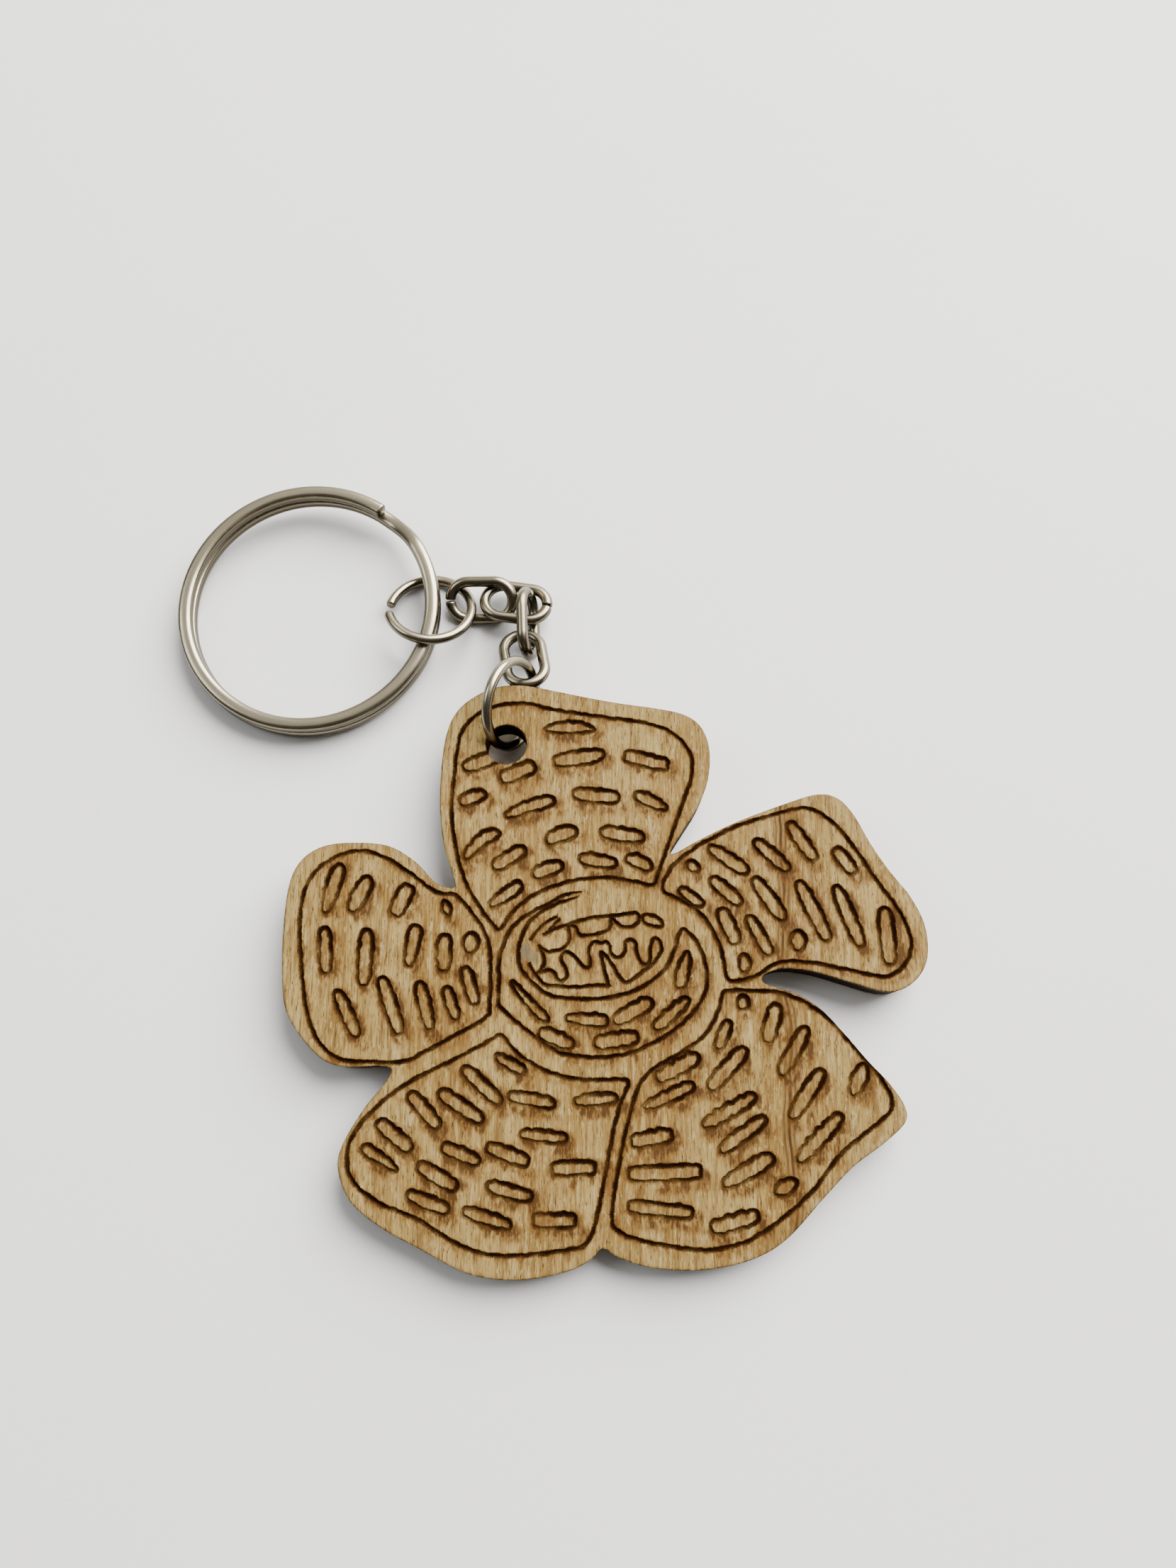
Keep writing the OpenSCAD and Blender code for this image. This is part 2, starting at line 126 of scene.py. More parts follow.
LOWER_RIGHT_MARKS = [
    (11.9, -2.95, 12.1, -1.75, 0.9), (13.95, -5.7, 14.9, -2.5, 1.15),
    (9.7, -6.3, 10.75, -3.9, 0.85), (15, -8.4, 17.4, -4.4, 1.05), (8.9, -9.6, 12.1, -6.2, 1.15),
    (4.5, -8.75, 8.1, -6.8, 1.25), (3.4, -11.1, 7.6, -9.2, 1.1), (21, -10.1, 22.2, -7.5, 1.2),
    (15.7, -12, 18.6, -7.95, 1.1), (8.3, -12.6, 12.8, -10.1, 1), (9.7, -14.6, 13.6, -11.9, 1),
    (16.2, -15.4, 20, -11.6, 1.05), (2.3, -13.85, 5.75, -13.25, 1.1), (9.9, -17.3, 14.1, -15, 1.3),
    (14.2, -17.9, 16, -17, 1.1), (2.05, -16.45, 8.1, -16.2, 1.1), (2, -18.95, 7.3, -19.5, 0.95),
    (8.8, -20.7, 12.7, -19.65, 1.1),
]
RIGHT_MARKS = [
    (7.45, 9.8, 8.5, 9.25, 0.85), (9.4, 11.3, 12.8, 9, 1.05), (13.5, 11.9, 16.4, 9.2, 1.05),
    (16.6, 13.5, 18.75, 10.1, 1.1), (20.6, 11.1, 22.2, 8.95, 1.05), (6.7, 7.5, 8.75, 6.1, 0.8),
    (9.5, 8.5, 12.1, 6.2, 1.05), (13.3, 8.5, 15.8, 4.8, 1.15), (17.2, 8.2, 19.6, 3, 1.15),
    (20.5, 7.8, 22.45, 2.5, 1.1), (10.3, 5.8, 11.6, 2.7, 1.15), (12.75, 5.1, 14.5, 1.7, 0.95),
    (17, 2.1, 17, 3.85, 1.2), (12.3, 0.25, 12.2, 1.8, 0.9), (24.65, 5.85, 24.85, 0.9, 1.2),
]
DISC_MARKS = [
    (-7.9, -0.5, -4.8, -3.9, 0.8), (-3.2, -3.65, 0.35, -3.95, 1.15), (0.9, -4, 4.2, -2.2, 1.15),
    (4.4, -4.6, 7.3, -2, 1.05), (6.5, -1.1, 7.35, 2, 1.25), (-5.5, -4.8, -2.6, -6, 1.1),
    (-0.75, -5.8, 2.95, -5.25, 1.15),
]
# The crescent is one long stroke, whose two ends fade out beside each other.
CRESCENT = [
    (-1.9, 7.25), (-3, 7.1), (-4, 6.7), (-5, 6.1), (-6, 5.6), (-7, 5), (-8, 4), (-8.7, 2.6),
    (-9, 1), (-9, -0.8), (-9, -2.4), (-8.9, -2.7), (-6.5, -4.7), (-4, -6.4), (-1.5, -6.9),
    (1.5, -6.75), (4.5, -5.6), (7.3, -3.6), (8.8, -1.4), (8.9, 0.8), (8.2, 2.8), (7.5, 3.6),
    (7, 4), (6.6, 3.5), (6.2, 2.2), (5.2, 0.4), (3, -1.2), (0, -1.95), (-4.2, -1.8),
    (-6.5, -0.3), (-7.4, 1.7), (-6.7, 4.2), (-5.3, 5.6), (-4.5, 6), (-3.5, 6.4), (-2.6, 6.7),
    (-2.2, 6.8)]
# The wandering strokes inside the disc
STROKES = [
    [(-5.1, 3.5), (-4.4, 4.2), (-3.8, 4.9)],
    [(-6.3, 3.1), (-5.7, 3.9), (-4.9, 4.6), (-4.1, 5.1)],
    [(-4.9, 3.7), (-4, 4.1), (-3, 4.4), (-2, 4.75), (-1, 5), (0, 5.1), (1, 5.2), (2, 5.35),
     (2.8, 5.45), (3.1, 5.2), (3.05, 4.65), (2.6, 4.25), (1.7, 4.25), (1.15, 4.6), (0.8, 5)],
    [(-5.6, 2.6), (-5.2, 2.2), (-4.5, 2.05), (-3.7, 2.2), (-3.1, 2.7), (-2.9, 3.4), (-3, 4.25),
     (-2.45, 4.2), (-2.15, 3.7), (-1.85, 3.45), (-1, 3.5), (0, 3.75), (0.6, 4.15), (0.7, 4.9)],
    [(-5.6, 2.6), (-5.3, 1.9), (-5.1, 1.2), (-5.4, 0.5), (-5.6, 0.2), (-4.7, 0.45), (-4.2, 0.2),
     (-4, -0.3), (-3.6, -0.5), (-3.2, -0.1), (-3.2, 0.5), (-3.6, 1.2), (-3.5, 1.8), (-3.1, 2),
     (-2.7, 1.8), (-2.2, 1.3), (-1.7, 0.7), (-1.2, 0.65), (-1.1, 1.2), (-1.3, 1.9), (-1.2, 2.5),
     (-0.8, 2.9), (-0.2, 2.8), (0.3, 2.9), (0.6, 2.5), (0.7, 1.9), (1.1, 1.6), (1.6, 1.65),
     (1.9, 2.2), (2, 2.9), (2.5, 3.05), (2.9, 2.7), (2.9, 2.1), (3.1, 1.4), (3.5, 0.95),
     (4, 1.1), (4.1, 1.7), (4.1, 2.4), (4.3, 3), (4.6, 3.2), (5, 2.8), (5.05, 2.2), (4.8, 1.6),
     (4.2, 0.9), (3.4, 0.3), (2.6, -0.3), (2, -0.6), (1.6, -0.4), (1.2, 0.2), (0.7, 1),
     (0.2, 1.7), (-0.2, 2), (-0.1, 1.3), (0.1, 0.4), (0.3, -0.2), (0.5, -0.9)],
    [(-6.4, 1), (-6.2, 0.5), (-5.6, -0.2), (-5, -0.8), (-4, -0.95), (-2, -0.95), (-0.5, -0.9),
     (0.5, -0.9)]]
OVAL = [(3.45, 4.85), (3.8, 4.4), (4.6, 4.2), (5.2, 4.25), (5, 4.85), (4.2, 5.25), (3.6, 5.2)]
# Marks that differ from a plain wavy capsule. square: how boxy its ends are; start and end:
# how wide they are; bow: how far its middle is bent sideways.
MARK_SHAPES = {
    ("top", 0): dict(square=1.7, bow=0.18), ("top", 2): dict(square=5), ("top", 3): dict(square=2.6),
    ("top", 4): dict(square=4), ("top", 5): dict(square=2.4, end=0.75),
    ("top", 6): dict(start=0.7, bow=0.15), ("top", 8): dict(end=0.65, square=2.4),
    ("top", 9): dict(start=0.75, end=1.1, bow=0.35), ("top", 10): dict(bow=0.15, square=2.4),
    ("top", 14): dict(square=2.5, bow=0.1), ("top", 16): dict(start=0.7),
    ("left", 0): dict(start=0.7, square=2.3, waves=0.02), ("left", 1): dict(square=2.4, waves=0.03),
    ("left", 2): dict(square=4), ("left", 3): dict(square=1.4, waves=0), ("left", 4): dict(waves=0.02),
    ("left", 6): dict(start=0.7), ("left", 8): dict(square=2, waves=0), ("left", 9): dict(square=2.5),
    ("left", 12): dict(square=2.4, end=0.8), ("lower_left", 0): dict(start=0.75),
    ("lower_left", 5): dict(end=0.55), ("lower_left", 12): dict(square=4.5),
    ("lower_left", 16): dict(square=5),
    ("lower_right", 0): dict(square=2, waves=0), ("lower_right", 5): dict(waves=0.1),
    ("lower_right", 6): dict(start=0.7, waves=0.05), ("lower_right", 7): dict(square=2, waves=0.03),
    ("lower_right", 14): dict(square=2, waves=0.03), ("lower_right", 13): dict(start=0.8),
    ("lower_right", 9): dict(waves=0.08), ("lower_right", 11): dict(waves=0.07),
    ("lower_right", 12): dict(waves=0.06, square=4), ("lower_right", 15): dict(square=5, waves=0.02),
    ("lower_right", 16): dict(square=5, waves=0.02), ("lower_right", 17): dict(square=4, waves=0.07),
    ("right", 0): dict(square=2, waves=0.02), ("right", 12): dict(square=2, waves=0.02),
    ("right", 13): dict(square=2, waves=0.03), ("disc", 0): dict(start=0.55, end=1.05, bow=-0.12),
    ("disc", 1): dict(start=0.6, square=3.5, waves=0.05), ("disc", 2): dict(waves=0.06),
    ("disc", 3): dict(end=0.8, waves=0.06), ("disc", 4): dict(end=0.6, square=2.3),
    ("disc", 5): dict(waves=0.06), ("disc", 6): dict(waves=0.07, square=3.6)}
MARK_GROUPS = {"top", "left", "lower_left", "lower_right", "right", "disc"}
AIR_JET = np.array([0.55, 0.83])      # the marks are burnt darkest on this side
SOOT_FROM = np.array([-0.6, 0.8])     # the way from a sooty spot back to the line that it comes from

LINE_HALF = 0.185     # half the width of a burnt line
LINE_DEPTH = 0.17     # how deep it is burnt
STEP = 0.12           # between the points along a line
CELL = 0.05           # of the grids that hold distances
EDGE_STEP = 0.16      # between the points along the cut edge
GRID_STEP = (0.3, 0.26)   # of the loose points between the lines
NEAREST = 0.07        # points closer than this become one
WALL_BAND = 0.3       # from the face down to the middle of the veneer's side wall


# ---------------------------------------------------------------- small helpers
def smooth_noise(x, y, seed):
    """Smooth noise from -1 to 1 with features about 1 unit wide, the same on every run."""
    table = np.random.default_rng(seed).uniform(-1, 1, (64, 64))
    xi, yi = np.floor(x).astype(int), np.floor(y).astype(int)
    fx, fy = x - xi, y - yi
    fx, fy = fx * fx * (3 - 2 * fx), fy * fy * (3 - 2 * fy)
    pick = lambda a, b: table[(xi + a) % 64, (yi + b) % 64]
    low = pick(0, 0) * (1 - fx) + pick(1, 0) * fx
    high = pick(0, 1) * (1 - fx) + pick(1, 1) * fx
    return low * (1 - fy) + high * fy


def smooth_curve(points, closed, steps=8):
    """The points of a Catmull-Rom curve, as part.scad draws it."""
    p = np.array(points, float)
    n = len(p)
    spans = n if closed else n - 1
    out = []
    for i in range(spans):
        pick = (lambda k: p[k % n]) if closed else (lambda k: p[min(max(k, 0), n - 1)])
        a, b, c, d = pick(i - 1), pick(i), pick(i + 1), pick(i + 2)
        for t in np.arange(steps) / steps:
            out.append(0.5 * (2 * b + (c - a) * t + (2 * a - 5 * b + 4 * c - d) * t ** 2
                              + (3 * b - a - 3 * c + d) * t ** 3))
    if not closed:
        out.append(p[-1])
    return np.array(out)


def resampled(curve, closed, step):
    """The same curve with points an even step apart."""
    if closed:
        curve = np.vstack([curve, curve[:1]])
    run = np.concatenate([[0], np.cumsum(np.linalg.norm(np.diff(curve, axis=0), axis=1))])
    count = max(8, int(round(run[-1] / step)))
    at = np.linspace(0, run[-1], count + 1)[:-1] if closed else np.linspace(0, run[-1], count + 1)
    return np.stack([np.interp(at, run, curve[:, k]) for k in (0, 1)], 1)


def sideways(curve, closed):
    """The unit vector to the left of the curve at each point."""
    if closed:
        along = np.roll(curve, -1, 0) - np.roll(curve, 1, 0)
    else:
        along = np.gradient(curve, axis=0)
    along /= np.linalg.norm(along, axis=1)[:, None] + 1e-9
    return np.stack([-along[:, 1], along[:, 0]], 1)


def mark_curve(mark, seed, square=3.0, start=1.0, end=1.0, bow=0.0, waves=0.035):
    """The closed line of one growth mark."""
    xa, ya, xb, yb, width = mark
    a, b = np.array([xa, ya]), np.array([xb, yb])
    length = np.linalg.norm(b - a)
    along = (b - a) / length
    left = np.array([-along[1], along[0]])
    turn = np.linspace(0, 2 * math.pi, 161)[:-1]
    c, s = np.cos(turn), np.sin(turn)
    x = length / 2 * np.sign(c) * np.abs(c) ** (2 / square)
    y = (width / 2 + 0.04) * np.sign(s) * np.abs(s) ** (2 / square)
    u = x / (length / 2)
    y = y * (start + (end - start) * (u + 1) / 2) + bow * (1 - u * u)
    count = length / 1.05
    phase = seed * 2.4 + np.where(s > 0, 0.0, 1.7)
    ripple = np.sin(math.pi * count * (u + 1) + phase)
    ripple += 0.6 * np.sin(math.pi * count * 1.7 * (u + 1) - 2 * phase)
    y = y + waves * ripple * (1 - u ** 4) * np.where(s > 0, 1, 0.6)
    return (a + b) / 2 + x[:, None] * along + y[:, None] * left


# ---------------------------------------------------------------- the burnt lines and their fields
def burnt_lines():
    """Every burnt line as (points, closed, half width at each point, how dark it is there)."""
    lines, rings = [], []

    def add(points, closed, half, name, seed):
        points = resampled(points, closed, STEP)
        n = len(points)
        left = sideways(points, closed)
        wobble = 0.045 * smooth_noise(points[:, 0] * 1.9 + 7, points[:, 1] * 1.9 + seed, 11)
        wobble += 0.03 * smooth_noise(points[:, 0] * 4.3, points[:, 1] * 4.3 + seed, 12)
        points = points + left * wobble[:, None]
        width = half * (1 + 0.2 * smooth_noise(points[:, 0] * 2.3 + seed, points[:, 1] * 2.3, 13))
        strength = 0.86 + 0.22 * smooth_noise(points[:, 0] * 1.1 + seed, points[:, 1] * 1.1, 14)
        if name in MARK_GROUPS:
            # the beam burnt the side away from the air jet less
            out = points - points.mean(0)
            out /= np.linalg.norm(out, axis=1)[:, None] + 1e-9
            strength += 0.22 * (out @ AIR_JET) - 0.12
            width = width * (1 + 0.14 * (out @ AIR_JET))
        if name == "crescent":
            tail = np.minimum(np.arange(n), np.arange(n)[::-1]) * STEP
            width = width * np.clip(0.45 + tail / 2.5, 0, 1)
        lines.append((points, closed, width, np.clip(strength, 0.3, 1.05), name in MARK_GROUPS))

    petals = {"top": TOP_LINE, "left": LEFT_LINE, "lower_left": LOWER_LEFT_LINE,
              "lower_right": LOWER_RIGHT_LINE, "right": RIGHT_LINE}
    for k, (name, line) in enumerate(petals.items()):
        add(smooth_curve(line, True), True, LINE_HALF, "petal", k)
    add(smooth_curve(CRESCENT, False), False, LINE_HALF, "crescent", 8)
    for k, stroke in enumerate(STROKES):
        add(smooth_curve(stroke, False), False, LINE_HALF * (0.8 if k < 2 else 0.92), "stroke", 20 + k)
    add(smooth_curve(OVAL, True), True, LINE_HALF, "oval", 30)
    marks = {"top": TOP_MARKS, "left": LEFT_MARKS, "lower_left": LOWER_LEFT_MARKS,
             "lower_right": LOWER_RIGHT_MARKS, "right": RIGHT_MARKS, "disc": DISC_MARKS}
    for group, rows in marks.items():
        for k, mark in enumerate(rows):
            curve = mark_curve(mark, k + len(group), **MARK_SHAPES.get((group, k), {}))
            add(curve, True, LINE_HALF, group, 40 + k)
            rings.append(curve)
    return lines, rings


class Field:
    """A grid over the flower that holds the distance to the nearest of some points."""
    x0, y0, x1, y1 = -30.0, -27.0, 30.5, 29.0

    def __init__(self, reach, note=0.0):
        self.nx = int((self.x1 - self.x0) / CELL) + 1
        self.ny = int((self.y1 - self.y0) / CELL) + 1
        self.value = np.full((self.ny, self.nx), reach, float)
        self.note = np.full((self.ny, self.nx), note, float)
        self.reach = reach
        self.span = int(reach / CELL) + 1
        k = np.arange(-self.span, self.span + 1)
        self.dx, self.dy = np.meshgrid(k, k)

    def stamp(self, points, shrink, notes):
        """Lowers the grid to distance minus shrink around each point, and keeps the nearest one's note."""
        for (x, y), r, note in zip(points, shrink, notes, strict=True):
            ix, iy = int(round((x - self.x0) / CELL)), int(round((y - self.y0) / CELL))
            a, b = ix - self.span, iy - self.span
            if a < 0 or b < 0 or a + 2 * self.span + 1 > self.nx or b + 2 * self.span + 1 > self.ny:
                continue
            gx = self.x0 + (ix + self.dx) * CELL - x
            gy = self.y0 + (iy + self.dy) * CELL - y
            window = self.value[b:b + 2 * self.span + 1, a:a + 2 * self.span + 1]
            reach = np.sqrt(gx * gx + gy * gy) - r
            nearer = reach < window
            window[nearer] = reach[nearer]
            self.note[b:b + 2 * self.span + 1, a:a + 2 * self.span + 1][nearer] = note

    def at(self, p, grid=None):
        """The value between the grid's points."""
        grid = self.value if grid is None else grid
        x = np.clip((p[:, 0] - self.x0) / CELL, 0, self.nx - 1.001)
        y = np.clip((p[:, 1] - self.y0) / CELL, 0, self.ny - 1.001)
        ix, iy = x.astype(int), y.astype(int)
        fx, fy = x - ix, y - iy
        return ((grid[iy, ix] * (1 - fx) + grid[iy, ix + 1] * fx) * (1 - fy)
                + (grid[iy + 1, ix] * (1 - fx) + grid[iy + 1, ix + 1] * fx) * fy)


def inside(points, polygon):
    """True for each point inside the polygon."""
    x, y = points[:, 0], points[:, 1]
    hit = np.zeros(len(points), bool)
    for a, b in zip(polygon, np.roll(polygon, -1, 0), strict=True):
        if a[1] == b[1]:
            continue
        crosses = (a[1] > y) != (b[1] > y)
        hit ^= crosses & (x < (b[0] - a[0]) * (y - a[1]) / (b[1] - a[1]) + a[0])
    return hit


def charm_to_row(p):
    """Points drawn flat on the flower's back face, in millimetres, to the row frame in metres."""
    turn = np.array(Matrix.Rotation(CHARM_TILT, 3, "X"))
    south = np.array([0, SOUTH_Y, 0])
    return ((p - south) @ turn.T + south + DISC_AT) * MM


def new_object(name, verts, faces):
    mesh = bpy.data.meshes.new(name)
    mesh.from_pydata([tuple(v) for v in verts], [], [tuple(int(i) for i in f) for f in faces])
    mesh.validate()
    obj = bpy.data.objects.new(name, mesh)
    bpy.context.scene.collection.objects.link(obj)
    return obj


def smoothed(obj, sharp_angle):
    """Turns every face outward and shades the object smooth, but for edges over sharp_angle degrees."""
    bm = bmesh.new()
    bm.from_mesh(obj.data)
    bmesh.ops.recalc_face_normals(bm, faces=bm.faces)
    bm.to_mesh(obj.data)
    bm.free()
    obj.data.shade_smooth()
    obj.data.set_sharp_from_angle(angle=math.radians(sharp_angle))


def store(obj, **values_by_name):
    """Keeps a value at each point of the object for its material to read."""
    for name, values in values_by_name.items():
        layer = obj.data.attributes.new(name, "FLOAT", "POINT")
        layer.data.foreach_set("value", values.astype(np.float32))


def thinned(groups, cell):
    """The points of all groups, keeping the first of any that fall in one cell."""
    points = np.vstack(groups)
    key = np.floor(points / cell).astype(np.int64)
    _, first = np.unique(key[:, 0] * 100003 + key[:, 1], return_index=True)
    return points[np.sort(first)]


def front_veneer():
    """The face veneer with its burnt lines sunk into it, and what its material needs at each point."""
    lines, mark_rings = burnt_lines()
    burn, marks = Field(2.2), Field(2.2)
    for points, closed, width, strength, smoky in lines:
        burn.stamp(points, width, strength)
        if smoky:
            marks.stamp(points, width, strength)
    outline = resampled(smooth_curve(EDGE, True, 10), True, EDGE_STEP)
    turn = np.linspace(0, 2 * math.pi, 97)[:-1]
    hole = np.stack([HOLE_AT[0] + HOLE_R * np.cos(turn), HOLE_AT[1] + HOLE_R * np.sin(turn)], 1)
    rim = Field(1.6)
    for loop in (outline, hole):
        rim.stamp(loop, np.zeros(len(loop)), np.zeros(len(loop)))

    # rows of points along every line, then rows along the cut edge, then a loose field between them
    rows = []
    for offset in (0.0, 1.0, -1.0, 0.5, -0.5, 1.5, -1.5):
        for points, closed, width, *_ in lines:
            shift = points + sideways(points, closed) * (offset * width)[:, None]
            keep = burn.at(shift) > (abs(offset) - 1) * width - 0.03
            rows.append(shift[keep])
    rim_rows = []
    for loop in (outline, hole):
        left = sideways(loop, True)
        for k in (0.09, 0.22, 0.5):
            for side in (1, -1):
                rim_rows.append(loop + left * side * k)
    xs = np.arange(Field.x0, Field.x1, GRID_STEP[0])
    ys = np.arange(Field.y0, Field.y1, GRID_STEP[1])
    field = np.array([(x + GRID_STEP[0] / 2 * (k % 2), y) for k, y in enumerate(ys) for x in xs])
    every_other = np.arange(len(field)) % 2 == 0
    near = burn.at(field)
    field = field[(near > 0.16) & ((near < 0.9) | every_other)]
    body = thinned(rows + rim_rows + [field], NEAREST)
    body = body[inside(body, outline) & (rim.at(body) > 0.06)]
    body = body[np.hypot(body[:, 0] - HOLE_AT[0], body[:, 1] - HOLE_AT[1]) > HOLE_R + 0.05]

    def filled(points, loops):
        """Triangles over the flower, and where each point of the loops is among their corners."""
        base = count = len(points)
        edges, all_points = [], [points]
        for loop in loops:
            n = len(loop)
            edges += [(count + i, count + (i + 1) % n) for i in range(n)]
            all_points.append(loop)
            count += n
        flat = np.vstack(all_points)
        out, _, faces, origins, *_ = delaunay_2d_cdt([tuple(v) for v in flat], edges, [], 0, 1e-7)
        out = np.array([tuple(v) for v in out])
        place = {k: i for i, group in enumerate(origins) for k in group}
        faces = np.array([tuple(f) for f in faces])
        middle = out[faces].mean(1)
        good = inside(middle, outline)
        good &= np.hypot(middle[:, 0] - HOLE_AT[0], middle[:, 1] - HOLE_AT[1]) > HOLE_R * 0.999
        return out, faces[good], [place[k] for k in range(base, count)]

    loops = [outline, hole]
    top, top_faces, top_rim = filled(body, loops)
    depth = LINE_DEPTH * (1 + 0.25 * smooth_noise(top[:, 0] * 1.3, top[:, 1] * 1.3, 31))
    r = np.clip((burn.at(top) + LINE_HALF) / LINE_HALF, 0, 1)
    z = PLY_T - depth * (1 - r * r)
    edge_d = rim.at(top)
    z = z - 0.07 * np.clip(1 - edge_d / 0.1, 0, 1) ** 2
    z = z + 0.006 * smooth_noise(top[:, 0] * 6, top[:, 1] * 0.5, 33)

    low, low_faces, low_rim = filled(np.zeros((0, 2)), loops)
    verts = [np.column_stack([top, z])]
    faces = [tuple(f) for f in top_faces]
    count = len(top)
    # the side wall in two bands, from the face's rim down to the next ply
    low_base = count
    verts.append(np.column_stack([low, np.full(len(low), PLY_T - VENEER_T)]))
    count += len(low)
    done = 0
    for loop in loops:
        size = len(loop)
        ids = top_rim[done:done + size]
        low_ids = [low_base + i for i in low_rim[done:done + size]]
        done += size
        mid = list(range(count, count + size))
        verts.append(np.column_stack([loop, np.full(size, PLY_T - WALL_BAND)]))
        count += size
        for i in range(size):
            j = (i + 1) % size
            faces.append((ids[i], ids[j], mid[j], mid[i]))
            faces.append((mid[i], mid[j], low_ids[j], low_ids[i]))
    faces += [tuple(low_base + i for i in f) for f in low_faces]
    points = np.vstack(verts)
    obj = new_object("flower_face", charm_to_row(points), faces)
    smoothed(obj, 50)

    # soot lies close to the lines, and further out on one side of them
    flat = points[:, :2]
    s, strength = burn.at(flat), burn.at(flat, burn.note)
    soot = 0.42 * np.exp(-np.clip(s, 0, None) / 0.22)
    for step, amount, reach in ((0.45, 0.6, 0.35), (0.95, 0.5, 0.5)):
        there = flat + SOOT_FROM * step
        soot += 0.5 * amount * np.exp(-np.clip(burn.at(there), 0, None) / reach)
        soot += 0.65 * amount * np.exp(-np.clip(marks.at(there), 0, None) / reach)
    within = np.zeros(len(flat))
    for ring in mark_rings:
        low, high = ring.min(0), ring.max(0)
        some = np.flatnonzero(np.all((flat > low) & (flat < high), axis=1))
        within[some[inside(flat[some], ring)]] = 1
    soot *= 1 - 0.5 * within
    store(obj, burn_d=s, burn_s=strength, soot=soot, rim_d=rim.at(flat), in_mark=within,
          flower_z=points[:, 2])
    return obj


# ---------------------------------------------------------------- the metal pieces
CHARM_RING = ((-8.32, 24.72, 4.09), (63, -23, 82))
LINKS = [((-7.32, 29.78, 2.59), (0.4, 18, 99.5)), ((-7, 33.5, 2.4), (73, -8, 92)),
         ((-8.25, 36, 1.7), (-9, -1.5, -9)), ((-11.6, 36.35, 1.55), (30.4, -4.7, -1.5))]
CHAIN_RING = ((-16.449, 35.097, 2.218), (-19.74, 2.48, -2.48))
SPLIT_RING = ((-27.95, 35.25, 0.773), (2.7, -1.46, 0))
SPLIT_OD, SPLIT_W, SPLIT_H, COIL_GAP = 25.0, 1.35, 1.2, 0.08
JUMP_OD, JUMP_WIRE, JUMP_TWIST, JUMP_OVAL = 8.9, 0.95, 1.2, 1.06
CLOSED_ENDS, OPEN_ENDS = (2, 2), (18, 10)     # degrees from a jump ring's gap to its ends
LINK_L, LINK_W, LINK_WIRE, SEAM = 7.1, 4.6, 1.05, 0.12


def laid(points, place):
    """Points of a piece drawn flat, in millimetres, to where it lies in the row frame, in metres."""
    at, turn = place
    r = np.array(Euler([math.radians(a) for a in turn], "XYZ").to_matrix())
    return (points @ r.T + DISC_AT + np.array(at)) * MM


def round_wire(wire, sides=24):
    a = np.linspace(0, 2 * math.pi, sides + 1)[:-1]
    return np.stack([wire / 2 * np.cos(a), wire / 2 * np.sin(a)], 1)


def flat_wire(w, h, bevel=0.28, soft=0.2):
    """A flattened wire: a rectangle with wide bevels, each corner slightly rounded."""
    w, h = w / 2, h / 2
    corners = np.array([(w, bevel - h), (w, h - bevel), (w - bevel, h), (bevel - w, h),
                        (-w, h - bevel), (-w, bevel - h), (bevel - w, -h), (w - bevel, -h)])
    out = []
    for i, c in enumerate(corners):
        a, b = corners[i - 1] - c, corners[(i + 1) % 8] - c
        a, b = a / np.linalg.norm(a) * soft, b / np.linalg.norm(b) * soft
        for t in (0, 0.5, 1):
            out.append(c + a * (1 - t) ** 2 + b * t ** 2)
    return np.array(out)


def swept(name, centres, outward, upward, profile, place, ends):
    """A wire along centres, whose cross-section is profile, closed by a cut face at each end.

    ends are the two (length, size) pairs: over that length the wire thins to that size."""
    run = np.concatenate([[0], np.cumsum(np.linalg.norm(np.diff(centres, axis=0), axis=1))])
    total, count, sides = run[-1], len(centres), len(profile)
    (la, sa), (lb, sb) = ends
    size = np.ones(count)
    size *= np.where(run < la, sa + (1 - sa) * np.sqrt(np.clip(1 - (1 - run / la) ** 2, 0, 1)), 1)
    back = total - run
    size *= np.where(back < lb, sb + (1 - sb) * np.sqrt(np.clip(1 - (1 - back / lb) ** 2, 0, 1)), 1)
    rings = (centres[:, None, :] + size[:, None, None]
             * (profile[None, :, :1] * outward[:, None, :] + profile[None, :, 1:] * upward[:, None, :]))
    points = np.vstack([rings.reshape(-1, 3), centres[:1], centres[-1:]])
    faces = []
    for i in range(count - 1):
        for k in range(sides):
            j = (k + 1) % sides
            faces.append((i * sides + k, i * sides + j, (i + 1) * sides + j, (i + 1) * sides + k))
    first, last = count * sides, count * sides + 1
    for k in range(sides):
        j = (k + 1) % sides
        faces.append((first, j, k))
        faces.append((last, (count - 1) * sides + k, (count - 1) * sides + j))
    obj = new_object(name, laid(points, place), faces)
    smoothed(obj, 38)
    arc = np.concatenate([np.repeat(run, sides), [0, total]])
    around = np.concatenate([np.tile(np.arange(sides) / sides, count), [0.5, 0.5]])
    store(obj, arc=arc, around=around, end_d=np.minimum(arc, total - arc))
    return obj


def turning(angles, radius, rise):
    """Centres, outward and upward directions along a turn about z."""
    a = np.radians(angles)
    out = np.stack([np.cos(a), np.sin(a), np.zeros_like(a)], 1)
    centres = out * radius + np.stack([np.zeros_like(a), np.zeros_like(a), rise], 1)
    return centres, out, np.tile([0.0, 0.0, 1.0], (len(a), 1))


